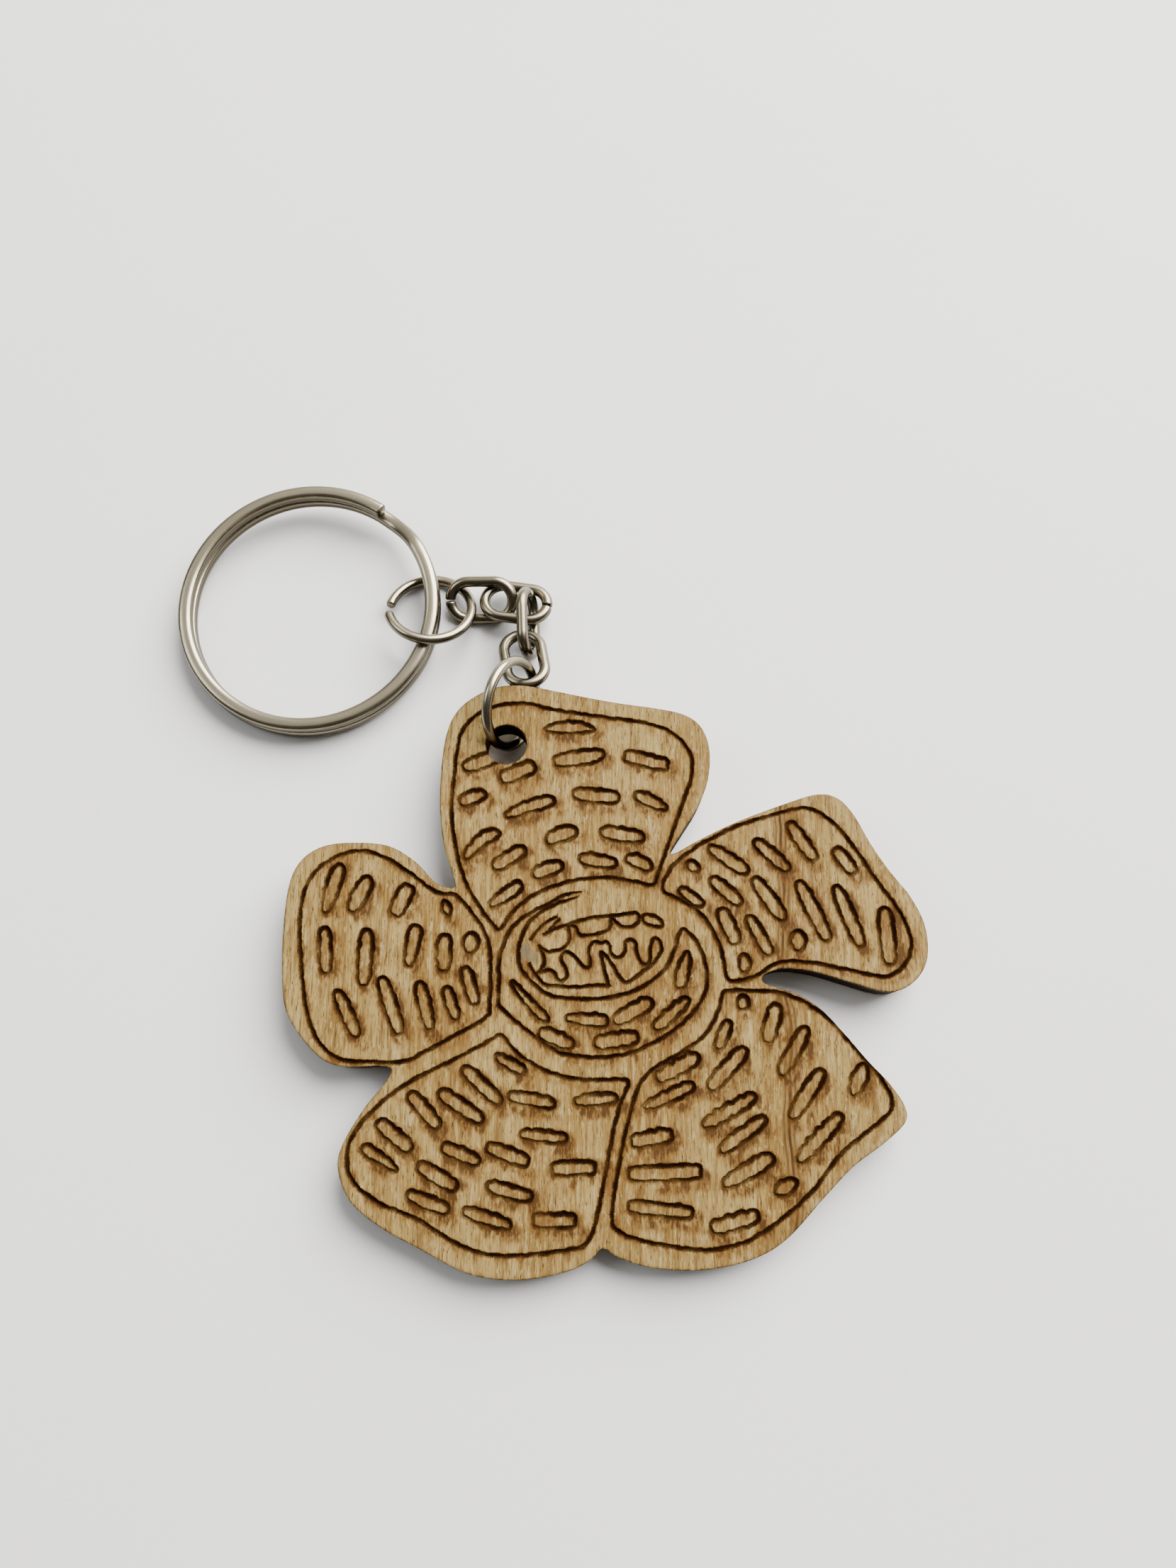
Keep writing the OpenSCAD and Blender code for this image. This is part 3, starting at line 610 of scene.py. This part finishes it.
def jump_ring(name, place, gap_at, ends, twist, pinch):
    first, last = ends[0], 360 - ends[1]
    angles = np.concatenate([np.linspace(first, first + 3, 9), np.arange(first + 5, last - 4.5, 2.5),
                             np.linspace(last - 3, last, 9)])
    rise = twist * (0.5 - angles / 360)
    centres, out, up = turning(angles + gap_at, (JUMP_OD - JUMP_WIRE) / 2, rise)
    if twist:
        centres = centres * [1, JUMP_OVAL, 1]
    return swept(name, centres, out, up, round_wire(JUMP_WIRE), place, pinch)


def chain_link(name, place, seam_turn):
    """An oval link that starts and ends at its seam, at +x before it is turned."""
    bend, half = (LINK_W - LINK_WIRE) / 2, (LINK_L - LINK_W) / 2
    skip = math.asin(SEAM / 2 / bend)
    a1 = np.concatenate([np.linspace(skip, 0.14, 7), np.linspace(0.2, math.pi / 2, 20)])
    a2 = np.linspace(math.pi / 2, 3 * math.pi / 2, 41)
    a3 = np.concatenate([np.linspace(-math.pi / 2, -0.2, 20), np.linspace(-0.14, -skip, 7)])
    line = np.linspace(half, -half, 8)[1:-1]
    parts, outs = [], []
    for a, cx in ((a1, half), (None, bend), (a2, -half), (None, -bend), (a3, half)):
        if a is None:
            xs = line if cx > 0 else -line
            parts.append(np.stack([xs, np.full(len(xs), cx), 0 * xs], 1))
            outs.append(np.tile([0.0, math.copysign(1, cx), 0.0], (len(xs), 1)))
        else:
            d = np.stack([np.cos(a), np.sin(a), 0 * a], 1)
            parts.append(d * bend + [cx, 0, 0])
            outs.append(d)
    centres, out = np.vstack(parts), np.vstack(outs)
    if seam_turn:
        centres, out = centres * [-1, -1, 1], out * [-1, -1, 1]
    up = np.tile([0.0, 0.0, 1.0], (len(centres), 1))
    return swept(name, centres, out, up, round_wire(LINK_WIRE), place, ((0.22, 0.72), (0.22, 0.72)))


def split_ring(name, place):
    """Two turns of flattened wire: the top coil steps down beside its own squared-off start."""
    top_end, step_from, step_to, bottom_end = 56, 389, 413, 743
    angles = np.concatenate([np.linspace(top_end, top_end + 1.2, 6), np.arange(58.5, bottom_end - 2, 2.0),
                             np.linspace(bottom_end - 1.2, bottom_end, 6)])
    t = np.clip((angles - step_from) / (step_to - step_from), 0, 1)
    rise = SPLIT_H / 2 + (SPLIT_H + COIL_GAP) * (1 - t * t * (3 - 2 * t))
    centres, out, up = turning(angles, (SPLIT_OD - SPLIT_W) / 2, rise)
    return swept(name, centres, out, up, flat_wire(SPLIT_W, SPLIT_H), place, ((0.16, 0.8), (0.16, 0.8)))


# ---------------------------------------------------------------- materials
class Nodes:
    """A short way to write a material's node tree."""

    def __init__(self, name):
        self.material = bpy.data.materials.new(name)
        self.material.use_nodes = True
        self.tree = self.material.node_tree
        self.tree.nodes.clear()
        self.shader = self.node("ShaderNodeBsdfPrincipled")
        out = self.node("ShaderNodeOutputMaterial")
        self.link(self.shader.outputs[0], out.inputs["Surface"])

    def node(self, kind, **settings):
        n = self.tree.nodes.new(kind)
        for key, value in settings.items():
            setattr(n, key, value)
        return n

    def link(self, a, b):
        self.tree.links.new(a, b)

    def feed(self, socket, value):
        if isinstance(value, bpy.types.NodeSocket):
            self.link(value, socket)
        else:
            socket.default_value = value

    def attribute(self, name):
        return self.node("ShaderNodeAttribute", attribute_name=name).outputs["Fac"]

    def coords(self, scale=(1, 1, 1)):
        """Object coordinates, counted in millimetres over scale."""
        mapping = self.node("ShaderNodeMapping")
        self.link(self.node("ShaderNodeTexCoord").outputs["Object"], mapping.inputs["Vector"])
        mapping.inputs["Scale"].default_value = [1 / MM / s for s in scale]
        return mapping.outputs[0]

    def noise(self, vector, detail=3.0, rough=0.5, distortion=0.0, seed=0.0):
        n = self.node("ShaderNodeTexNoise", noise_dimensions="4D")
        self.link(vector, n.inputs["Vector"])
        n.inputs["Scale"].default_value = 1.0
        n.inputs["W"].default_value = seed
        n.inputs["Detail"].default_value = detail
        n.inputs["Roughness"].default_value = rough
        n.inputs["Distortion"].default_value = distortion
        return n.outputs["Fac"]

    def math(self, operation, a, b=0.0, clamp=False):
        n = self.node("ShaderNodeMath", operation=operation, use_clamp=clamp)
        self.feed(n.inputs[0], a)
        self.feed(n.inputs[1], b)
        return n.outputs[0]

    def remap(self, value, a, b, c=0.0, d=1.0, smooth=True):
        n = self.node("ShaderNodeMapRange", interpolation_type="SMOOTHSTEP" if smooth else "LINEAR")
        self.feed(n.inputs["Value"], value)
        for key, v in (("From Min", a), ("From Max", b), ("To Min", c), ("To Max", d)):
            self.feed(n.inputs[key], v)
        return n.outputs[0]

    def mix(self, factor, a, b, blend="MIX"):
        n = self.node("ShaderNodeMix", data_type="RGBA", blend_type=blend)
        self.feed(n.inputs["Factor"], factor)
        for socket, value in ((n.inputs[6], a), (n.inputs[7], b)):
            self.feed(socket, value if isinstance(value, bpy.types.NodeSocket) else (*value, 1))
        return n.outputs[2]

    def bump(self, height, distance, strength=1.0, normal=None):
        n = self.node("ShaderNodeBump")
        self.feed(n.inputs["Height"], height)
        n.inputs["Distance"].default_value = distance
        n.inputs["Strength"].default_value = strength
        if normal is not None:
            self.link(normal, n.inputs["Normal"])
        return n.outputs[0]


STRAW, PALE, TAN = (0.218, 0.132, 0.037), (0.325, 0.228, 0.082), (0.113, 0.059, 0.017)
AMBER, SCORCH, UMBER = (0.145, 0.068, 0.016), (0.052, 0.0215, 0.006), (0.024, 0.009, 0.0025)
CHAR, CREAM = (0.0095, 0.0036, 0.0014), (0.385, 0.30, 0.14)


def grain(m, across="x"):
    """The veneer's colour: long soft streaks along the grain, fine lines, cream flecks and dark pores."""
    def stretched(a, b):
        return (a, b, a) if across == "x" else (b, a, a)
    broad = m.noise(m.coords(stretched(2.0, 30)), 2, 0.5, 0.3, 1)
    streak = m.noise(m.coords(stretched(0.42, 7)), 4, 0.62, 0.2, 2)
    fine = m.noise(m.coords(stretched(0.15, 2.2)), 3, 0.7, 0.0, 3)
    fleck = m.noise(m.coords(stretched(0.22, 0.9)), 3, 0.6, 0.2, 9)
    honey = m.noise(m.coords(stretched(0.6, 2.6)), 3, 0.6, 0.4, 10)
    colour = m.mix(m.remap(broad, 0.36, 0.60, 0, 0.85), STRAW, PALE)
    colour = m.mix(m.remap(streak, 0.50, 0.66, 0, 0.7), colour, TAN)
    colour = m.mix(m.remap(streak, 0.46, 0.32, 0, 0.8), colour, CREAM)
    colour = m.mix(m.remap(honey, 0.55, 0.72, 0, 0.5), colour, AMBER)
    colour = m.mix(m.remap(fine, 0.50, 0.66, 0, 0.85), colour, TAN)
    colour = m.mix(m.remap(fine, 0.48, 0.34, 0, 0.8), colour, PALE)
    colour = m.mix(m.remap(fleck, 0.55, 0.68, 0, 0.7), colour, CREAM)
    pores = m.noise(m.coords(stretched(0.12, 0.7)), 2, 0.5, 0, 4)
    pores = m.remap(pores, 0.60, 0.69, 0, 0.8)
    colour = m.mix(pores, colour, (0.046, 0.024, 0.009))
    return colour, fine, pores


def face_wood():
    m = Nodes("burnt_face_wood")
    colour, fine, pores = grain(m)
    burn_d, burn_s, soot = m.attribute("burn_d"), m.attribute("burn_s"), m.attribute("soot")
    rim_d, in_mark = m.attribute("rim_d"), m.attribute("in_mark")
    cloud = m.noise(m.coords((0.9, 1.5, 0.9)), 3, 0.6, 0.4, 5)
    flame = m.noise(m.coords((0.16, 0.8, 0.16)), 3, 0.65, 0, 6)
    grit = m.noise(m.coords((0.08, 0.11, 0.08)), 2, 0.6, 0, 7)
    # dark lines of late wood, that run down through the right petals
    place = m.node("ShaderNodeSeparateXYZ")
    m.link(m.coords(), place.inputs[0])
    sway = m.noise(m.coords((2000, 7, 2000)), 2, 0.5, 0, 13)
    off = m.math("ABSOLUTE", m.math("ADD", m.math("SUBTRACT", place.outputs[0], DISC_AT[0] + LATE_WOOD_X),
                                    m.remap(sway, 0.3, 0.7, -0.3, 0.3)))
    second = m.math("ABSOLUTE", m.math("SUBTRACT", off, 0.42))
    late = m.math("MAXIMUM", m.remap(off, 0.17, 0.06), m.remap(second, 0.13, 0.04, 0, 0.65))
    late = m.math("MULTIPLY", late, m.remap(flame, 0.25, 0.5, 0.65, 0.95))
    colour = m.mix(m.remap(off, 1.1, 0.0, 0, 0.55), colour, TAN)
    colour = m.mix(late, colour, SCORCH)
    # the heads of the marks are darker, and short ticks cross them
    tick = m.noise(m.coords((0.13, 1.6, 0.13)), 2, 0.5, 0, 8)
    tick = m.math("MULTIPLY", in_mark, m.remap(tick, 0.42, 0.62, 0.0, 0.45))
    colour = m.mix(tick, colour, (0.092, 0.044, 0.014))
    # golden scorch that spreads from the lines to one side, then brown soot close to them
    spread = m.math("MULTIPLY", soot, m.remap(cloud, 0.34, 0.66, 0.2, 1.35))
    colour = m.mix(m.remap(spread, 0.12, 0.95, 0, 0.7), colour, AMBER)
    spread = m.math("MULTIPLY", spread, m.remap(flame, 0.32, 0.68, 0.45, 1.35))
    colour = m.mix(m.remap(spread, 0.45, 1.4, 0, 0.85), colour, SCORCH)
    # a grey smudge on the disc
    gap = m.node("ShaderNodeVectorMath", operation="DISTANCE")
    m.link(m.coords(), gap.inputs[0])
    gap.inputs[1].default_value = (DISC_AT[0] + SMUDGE_AT[0], DISC_AT[1] + SMUDGE_AT[1], 3.9)
    reach = m.math("ADD", gap.outputs["Value"], m.remap(cloud, 0.3, 0.7, -0.5, 0.5))
    smudge = m.math("MULTIPLY", m.remap(reach, 1.2, 0.6), m.remap(flame, 0.3, 0.65, 0.45, 0.95))
    colour = m.mix(smudge, colour, (0.105, 0.085, 0.052))
    # the cut edge
    edge = m.math("ADD", rim_d, m.remap(flame, 0.3, 0.7, -0.05, 0.04))
    colour = m.mix(m.remap(edge, 0.45, 0.0, 0, 0.22), colour, TAN)
    colour = m.mix(m.remap(edge, 0.10, 0.0, 0, 0.95), colour, UMBER)
    # the burnt lines, with gritty edges and paler stretches
    jitter = m.math("ADD", burn_d, m.remap(grit, 0.25, 0.75, -0.075, 0.075, False))
    strength = m.math("ADD", burn_s, m.remap(grit, 0.3, 0.7, 0.14, -0.14, False))
    colour = m.mix(m.math("MULTIPLY", m.remap(jitter, 0.10, -0.02), strength, True), colour, SCORCH)
    colour = m.mix(m.math("MULTIPLY", m.remap(jitter, 0.02, -0.08), strength, True), colour, UMBER)
    dark = m.math("MULTIPLY", m.remap(jitter, -0.02, -0.13), m.remap(strength, 0.6, 1.0, 0, 0.95), True)
    colour = m.mix(dark, colour, CHAR)
    # walls below the face are charred
    depth = m.attribute("flower_z")
    wall = m.remap(m.math("ADD", depth, m.remap(flame, 0.3, 0.7, -0.04, 0.04)), PLY_T - 0.30, PLY_T - 0.2)
    colour = m.mix(m.math("SUBTRACT", 1.0, wall), colour, CHAR)
    m.link(colour, m.shader.inputs["Base Color"])
    m.link(m.remap(burn_d, 0.1, -0.05, 0.55, 0.95), m.shader.inputs["Roughness"])
    m.link(m.remap(burn_d, 0.15, -0.03, 0.06, 0.0), m.shader.inputs["Specular IOR Level"])
    height = m.math("ADD", m.math("MULTIPLY", fine, 0.5), m.math("MULTIPLY", pores, -0.8))
    height = m.math("ADD", height, m.math("MULTIPLY", grit, m.remap(burn_d, 0.15, -0.05, 0.1, 1.6)))
    m.link(m.bump(height, 0.00003, 0.6), m.shader.inputs["Normal"])
    return m.material


def edge_wood(name, back):
    """The laser-cut plies: brown charred walls, and plain veneer on a face that looks down."""
    m = Nodes(name)
    colour, fine, _ = grain(m, "x" if back else "y")
    soot = m.noise(m.coords((0.5, 0.5, 0.25)), 3, 0.6, 0.2, 11)
    bands = m.noise(m.coords((0.25, 0.25, 4)), 2, 0.5, 0, 12)
    wall = m.mix(m.remap(soot, 0.35, 0.7), CHAR, UMBER)
    wall = m.mix(m.remap(bands, 0.55, 0.78, 0, 0.5), wall, SCORCH)
    normal = m.node("ShaderNodeSeparateXYZ")
    m.link(m.node("ShaderNodeNewGeometry").outputs["True Normal"], normal.inputs[0])
    flat = m.remap(m.math("ABSOLUTE", normal.outputs[2]), 0.5, 0.9)
    m.link(m.mix(flat, wall, colour), m.shader.inputs["Base Color"])
    m.link(m.remap(flat, 0, 1, 0.8, 0.55), m.shader.inputs["Roughness"])
    m.shader.inputs["Specular IOR Level"].default_value = 0.05
    height = m.math("ADD", fine, m.math("MULTIPLY", soot, 0.8))
    m.link(m.bump(height, 0.00004, 0.5), m.shader.inputs["Normal"])
    return m.material


def nickel(name, warm, dull):
    """Worn nickel plate: faint drawing lines along the wire, dull patches and darker specks."""
    m = Nodes(name)
    arc, around, end_d = m.attribute("arc"), m.attribute("around"), m.attribute("end_d")
    along = m.node("ShaderNodeCombineXYZ")
    m.feed(along.inputs[0], m.math("MULTIPLY", arc, 0.35))
    m.feed(along.inputs[1], m.math("MULTIPLY", around, 26.0))
    lines = m.noise(along.outputs[0], 3, 0.6, 0, 21)
    patch = m.noise(m.coords((2.6, 2.6, 2.6)), 2, 0.5, 0.3, 22)
    specks = m.noise(m.coords((0.16, 0.16, 0.16)), 2, 0.6, 0, 23)
    bright = (0.44, 0.388, 0.277) if warm else (0.31, 0.27, 0.19)
    dim = (0.35, 0.305, 0.215) if warm else (0.24, 0.205, 0.142)
    colour = m.mix(m.remap(patch, 0.35, 0.7, 0, 0.8), bright, dim)
    colour = m.mix(m.remap(lines, 0.55, 0.8, 0, 0.06), colour, (0.25, 0.21, 0.155))
    colour = m.mix(m.remap(specks, 0.74, 0.80, 0, 0.2), colour, (0.10, 0.08, 0.055))
    colour = m.mix(m.remap(end_d, 0.14, 0.02, 0, 0.45), colour, (0.24, 0.205, 0.16))
    # painted shade: the sides and undersides are darkened by the way they face, in place of the dark room
    # and shaded floor that they reflect
    facing = m.node("ShaderNodeSeparateXYZ")
    m.link(m.node("ShaderNodeTexCoord").outputs["Normal"], facing.inputs[0])
    painted_shade_by_facing = m.math("ADD", facing.outputs[2], m.remap(patch, 0.3, 0.7, -0.04, 0.04))
    colour = m.mix(m.remap(painted_shade_by_facing, 0.84, 0.2, 0, 0.93), colour, (0.055, 0.045, 0.028))
    m.link(colour, m.shader.inputs["Base Color"])
    m.shader.inputs["Metallic"].default_value = 1.0
    rough = m.math("ADD", m.remap(patch, 0.3, 0.75, 0.19 + dull, 0.27 + dull),
                   m.remap(lines, 0.4, 0.8, 0, 0.05))
    m.link(rough, m.shader.inputs["Roughness"])
    m.link(m.bump(lines, 0.0000001, 0.3), m.shader.inputs["Normal"])
    return m.material


def paper(name):
    """The plain pale surface that the keychain lies on."""
    m = Nodes(name)
    cloud = m.noise(m.coords((30, 30, 30)), 3, 0.5, 0, 31)
    tooth = m.noise(m.coords((0.7, 0.7, 0.7)), 3, 0.6, 0, 32)
    colour = m.mix(cloud, (0.86, 0.857, 0.85), (0.89, 0.887, 0.88))
    m.link(colour, m.shader.inputs["Base Color"])
    m.shader.inputs["Roughness"].default_value = 0.6
    m.shader.inputs["Specular IOR Level"].default_value = 0.25
    m.link(m.bump(tooth, 0.00004, 0.4), m.shader.inputs["Normal"])
    return m.material


def painted(obj, material):
    obj.data.materials.clear()
    obj.data.materials.append(material)
    return obj


# ---------------------------------------------------------------- the pieces
face = painted(front_veneer(), face_wood())
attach(face, "charm")
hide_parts("front_veneer")
painted(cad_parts["core_ply"], edge_wood("core_edge_wood", False))
painted(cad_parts["back_veneer"], edge_wood("back_face_wood", True))

bare = nickel("ring_nickel", True, 0.0)
ring_metal = nickel("split_nickel", True, 0.03)
link_metal = nickel("link_nickel", False, 0.02)
cut, pinched = ((0.1, 0.85), (0.1, 0.85)), ((0.5, 0.62), (0.35, 0.75))
metal = {
    "charm_ring": (jump_ring("charm_ring_wire", CHARM_RING, 250, CLOSED_ENDS, 0, cut), bare),
    "chain_ring": (jump_ring("chain_ring_wire", CHAIN_RING, 180, OPEN_ENDS, JUMP_TWIST, pinched), bare),
    "split_ring": (split_ring("split_ring_wire", SPLIT_RING), ring_metal)}
for k, place in enumerate(LINKS, 1):
    metal[f"chain_link_{k}"] = (chain_link(f"link_{k}_wire", place, k == 4), link_metal)
for node, (piece, material) in metal.items():
    painted(piece, material)
    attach(piece, node)
    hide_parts(node)

# ---------------------------------------------------------------- floor, light and camera
FLOOR_HALF, FLOOR_Z = 1.2, -2e-5      # metres; the floor is just under the keychain's lowest point
corners = [(x * FLOOR_HALF, y * FLOOR_HALF, FLOOR_Z) for x, y in ((-1, -1), (1, -1), (1, 1), (-1, 1))]
floor = new_object("floor", corners, [(0, 1, 2, 3)])
painted(floor, paper("pale_table"))

# a room that is bright to the north-east, with a duller, warmer side behind the camera
world = bpy.data.worlds.new("studio")
bpy.context.scene.world = world
world.use_nodes = True
tree = world.node_tree
sky = tree.nodes.new("ShaderNodeTexCoord")
lobe = tree.nodes.new("ShaderNodeVectorMath")
lobe.operation = "DOT_PRODUCT"
lobe.inputs[1].default_value = Vector((0.30, 0.72, 0.62)).normalized()
tree.links.new(sky.outputs["Generated"], lobe.inputs[0])
ramp = tree.nodes.new("ShaderNodeValToRGB")
ramp.color_ramp.interpolation = "EASE"
stops = ramp.color_ramp.elements
stops[0].position, stops[0].color = 0.30, (0.075, 0.066, 0.054, 1)
stops[1].position, stops[1].color = 0.97, (1.0, 0.98, 0.93, 1)
tree.links.new(lobe.outputs["Value"], ramp.inputs[0])
tree.links.new(ramp.outputs[0], tree.nodes["Background"].inputs[0])
tree.nodes["Background"].inputs[1].default_value = 1.08


def area_light(name, place, target, size, watts, colour=(1, 1, 1)):
    data = bpy.data.lights.new(name, "AREA")
    data.shape, data.size, data.energy, data.color = "DISK", size, watts, colour
    lamp = bpy.data.objects.new(name, data)
    lamp.location = place
    lamp.rotation_euler = (Vector(target) - Vector(place)).to_track_quat("-Z", "Y").to_euler()
    bpy.context.scene.collection.objects.link(lamp)
    return lamp


area_light("window", (0.38, 0.45, 0.52), (0, 0, 0), 0.85, 24.5, (1.0, 0.985, 0.96))
area_light("fill", (-0.45, 0.10, 0.45), (0, 0, 0), 0.35, 1.0, (0.93, 0.97, 1.0))

camera = bpy.data.objects.new("camera", bpy.data.cameras.new("camera"))
camera.location = (DISC_AT + np.array([-1.3, -14.2, 109.6])) * MM
camera.rotation_euler = (math.radians(16.5), 0, 0)
camera.data.lens, camera.data.sensor_width = 28.0, 36.0
camera.data.clip_start = 0.005
bpy.context.scene.collection.objects.link(camera)
bpy.context.scene.camera = camera
